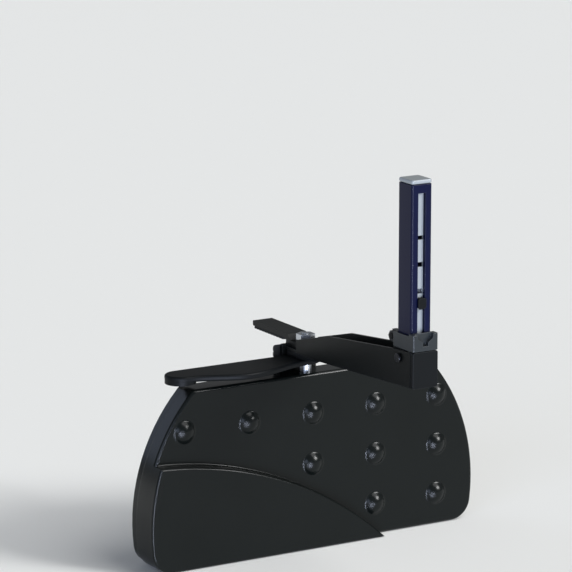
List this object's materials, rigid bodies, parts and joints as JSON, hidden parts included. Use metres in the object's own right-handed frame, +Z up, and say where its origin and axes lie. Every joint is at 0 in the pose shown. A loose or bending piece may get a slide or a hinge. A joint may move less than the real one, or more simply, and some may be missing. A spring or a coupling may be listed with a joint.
{
  "type": "table tennis net clamp",
  "caption": "Table tennis net post on an arm, with lever-and-screw clamp jaws behind a dimpled disc-shaped cover.",
  "frame": {"origin": "Corner of the mouth: the upper pad's lower face is Z = 0, the side pad's bearing face is Y = 0, and X = 0 is the middle plane of jaws, arm and post.", "axes": "+Y into the mouth, so the arm and the post lie towards -Y; +Z up along the post; +X to the right as seen from in front of the dimpled cover."},
  "size_m": [0.279, 0.222, 0.2958],
  "materials": {
    "black_powder_coat": "semi-gloss, fine texture",
    "black_rubber": "matte",
    "black_moulded_plastic": "satin",
    "dark_grey_moulded_plastic": "semi-gloss",
    "light_grey_plastic": "satin",
    "mid_grey_plastic": "semi-gloss",
    "navy_lacquered_aluminium": "gloss lacquer",
    "zinc_plated_steel": "bright zinc",
    "black_oxide_steel": "black oxide, oiled",
    "brass": "turned"
  },
  "bodies": {
    "clamp": {"clamp_frame": "black_powder_coat", "upper_jaw_pad": "black_rubber", "side_pad": "black_rubber", "arm_channel": "black_powder_coat", "arm_wedge": "black_moulded_plastic", "arm_rivet_1": "zinc_plated_steel", "arm_rivet_2": "zinc_plated_steel", "socket_block": "black_moulded_plastic", "post_spigot": "zinc_plated_steel", "socket_bolt": "black_oxide_steel", "socket_nut": "black_oxide_steel", "lock_collar": "mid_grey_plastic", "collar_nut": "black_oxide_steel", "front_cover": "dark_grey_moulded_plastic", "rear_cover": "dark_grey_moulded_plastic", "cover_screw_1": "zinc_plated_steel", "cover_screw_2": "zinc_plated_steel", "cover_screw_3": "zinc_plated_steel", "cover_screw_4": "zinc_plated_steel", "frame_screw_1": "zinc_plated_steel", "frame_screw_2": "zinc_plated_steel", "frame_screw_3": "zinc_plated_steel", "frame_screw_4": "zinc_plated_steel"},
    "lever": {"lever": "black_moulded_plastic", "lever_spindle": "zinc_plated_steel", "spindle_washer": "zinc_plated_steel", "spindle_nut": "zinc_plated_steel"},
    "jaw": {"lower_jaw": "black_powder_coat", "jaw_nut": "brass"},
    "pad": {"pressure_pad": "zinc_plated_steel", "pad_rubber": "black_rubber"},
    "screw": {"clamp_screw": "zinc_plated_steel", "clamp_knob": "black_moulded_plastic"},
    "thumbscrew": {"collar_screw": "black_moulded_plastic"},
    "post": {"post_tube": "navy_lacquered_aluminium", "post_cap": "light_grey_plastic", "tension_rack": "light_grey_plastic", "cord_hook": "black_moulded_plastic"}
  },
  "joints": [
    {"name": "lever_turn", "type": "hinge", "parent": "clamp", "child": "lever", "pos_m": [0, -0.0165, -0.0093], "axis": [0, 0, 1], "range_deg": [0, 100]},
    {"name": "jaw_slide", "type": "slide", "parent": "clamp", "child": "jaw", "axis": [0, 0, 1], "range_m": [-0.0044, 0]},
    {"name": "pad_slide", "type": "slide", "parent": "jaw", "child": "pad", "axis": [0, 0, 1], "range_m": [-0.008, 0.024]},
    {"name": "screw_turn", "type": "hinge", "parent": "pad", "child": "screw", "pos_m": [0, 0.028, -0.116], "axis": [0, 0, 1], "range_deg": [-960.1, 2880.1]},
    {"name": "thumbscrew_turn", "type": "hinge", "parent": "clamp", "child": "thumbscrew", "pos_m": [0, -0.144, 0.03255], "axis": [1, 0, 0], "range_deg": [0, 720]},
    {"name": "post_height", "type": "slide", "parent": "clamp", "child": "post", "axis": [0, 0, 1], "range_m": [0, 0.006]}
  ],
  "couplings": [
    {"joint": "jaw_slide", "follows": "lever_turn", "m_per_rad": -0.0025},
    {"joint": "screw_turn", "follows": "pad_slide", "rad_per_m": 2094.4}
  ]
}
